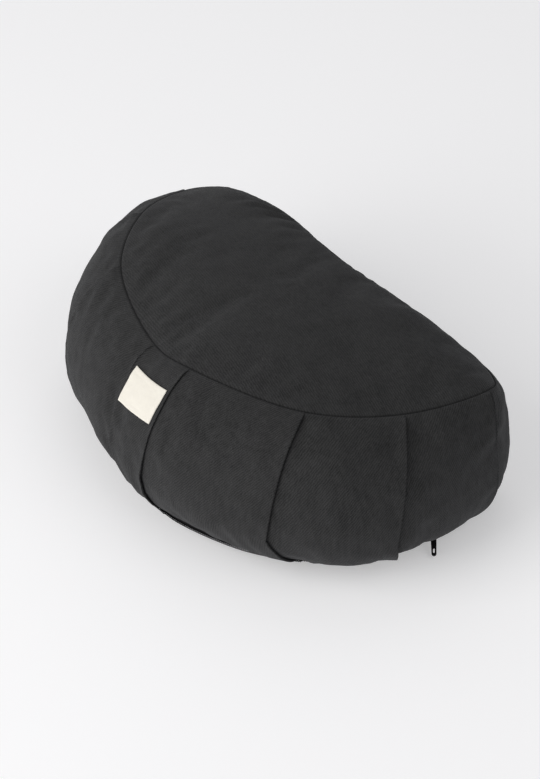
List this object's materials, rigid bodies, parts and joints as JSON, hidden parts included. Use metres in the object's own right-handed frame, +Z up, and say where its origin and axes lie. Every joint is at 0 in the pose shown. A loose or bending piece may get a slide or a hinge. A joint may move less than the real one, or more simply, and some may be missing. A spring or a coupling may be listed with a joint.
{
  "type": "crescent meditation cushion",
  "caption": "Crescent meditation cushion in charcoal twill: crowned top, knife-pleated rounded wall, hollow back, a small sewn label and a zip in the lower seam.",
  "frame": {"origin": "on the floor, under the middle of the cushion's bounding box", "axes": "+X along the crescent towards one horn, -Y out of the rounded front with the label, +Z up out of the crown"},
  "size_m": [0.4444, 0.2659, 0.156],
  "materials": {
    "charcoal_twill": "matt brushed cotton twill",
    "label_cloth": "plain woven cream cotton",
    "coil_plastic": "black nylon zip coil",
    "black_metal": "glossy black enamel"
  },
  "bodies": {
    "root": {"cover": "charcoal_twill", "label": "label_cloth", "zip_coil": "coil_plastic", "zip_slider": "black_metal", "zip_puller": "black_metal"}
  },
  "joints": []
}
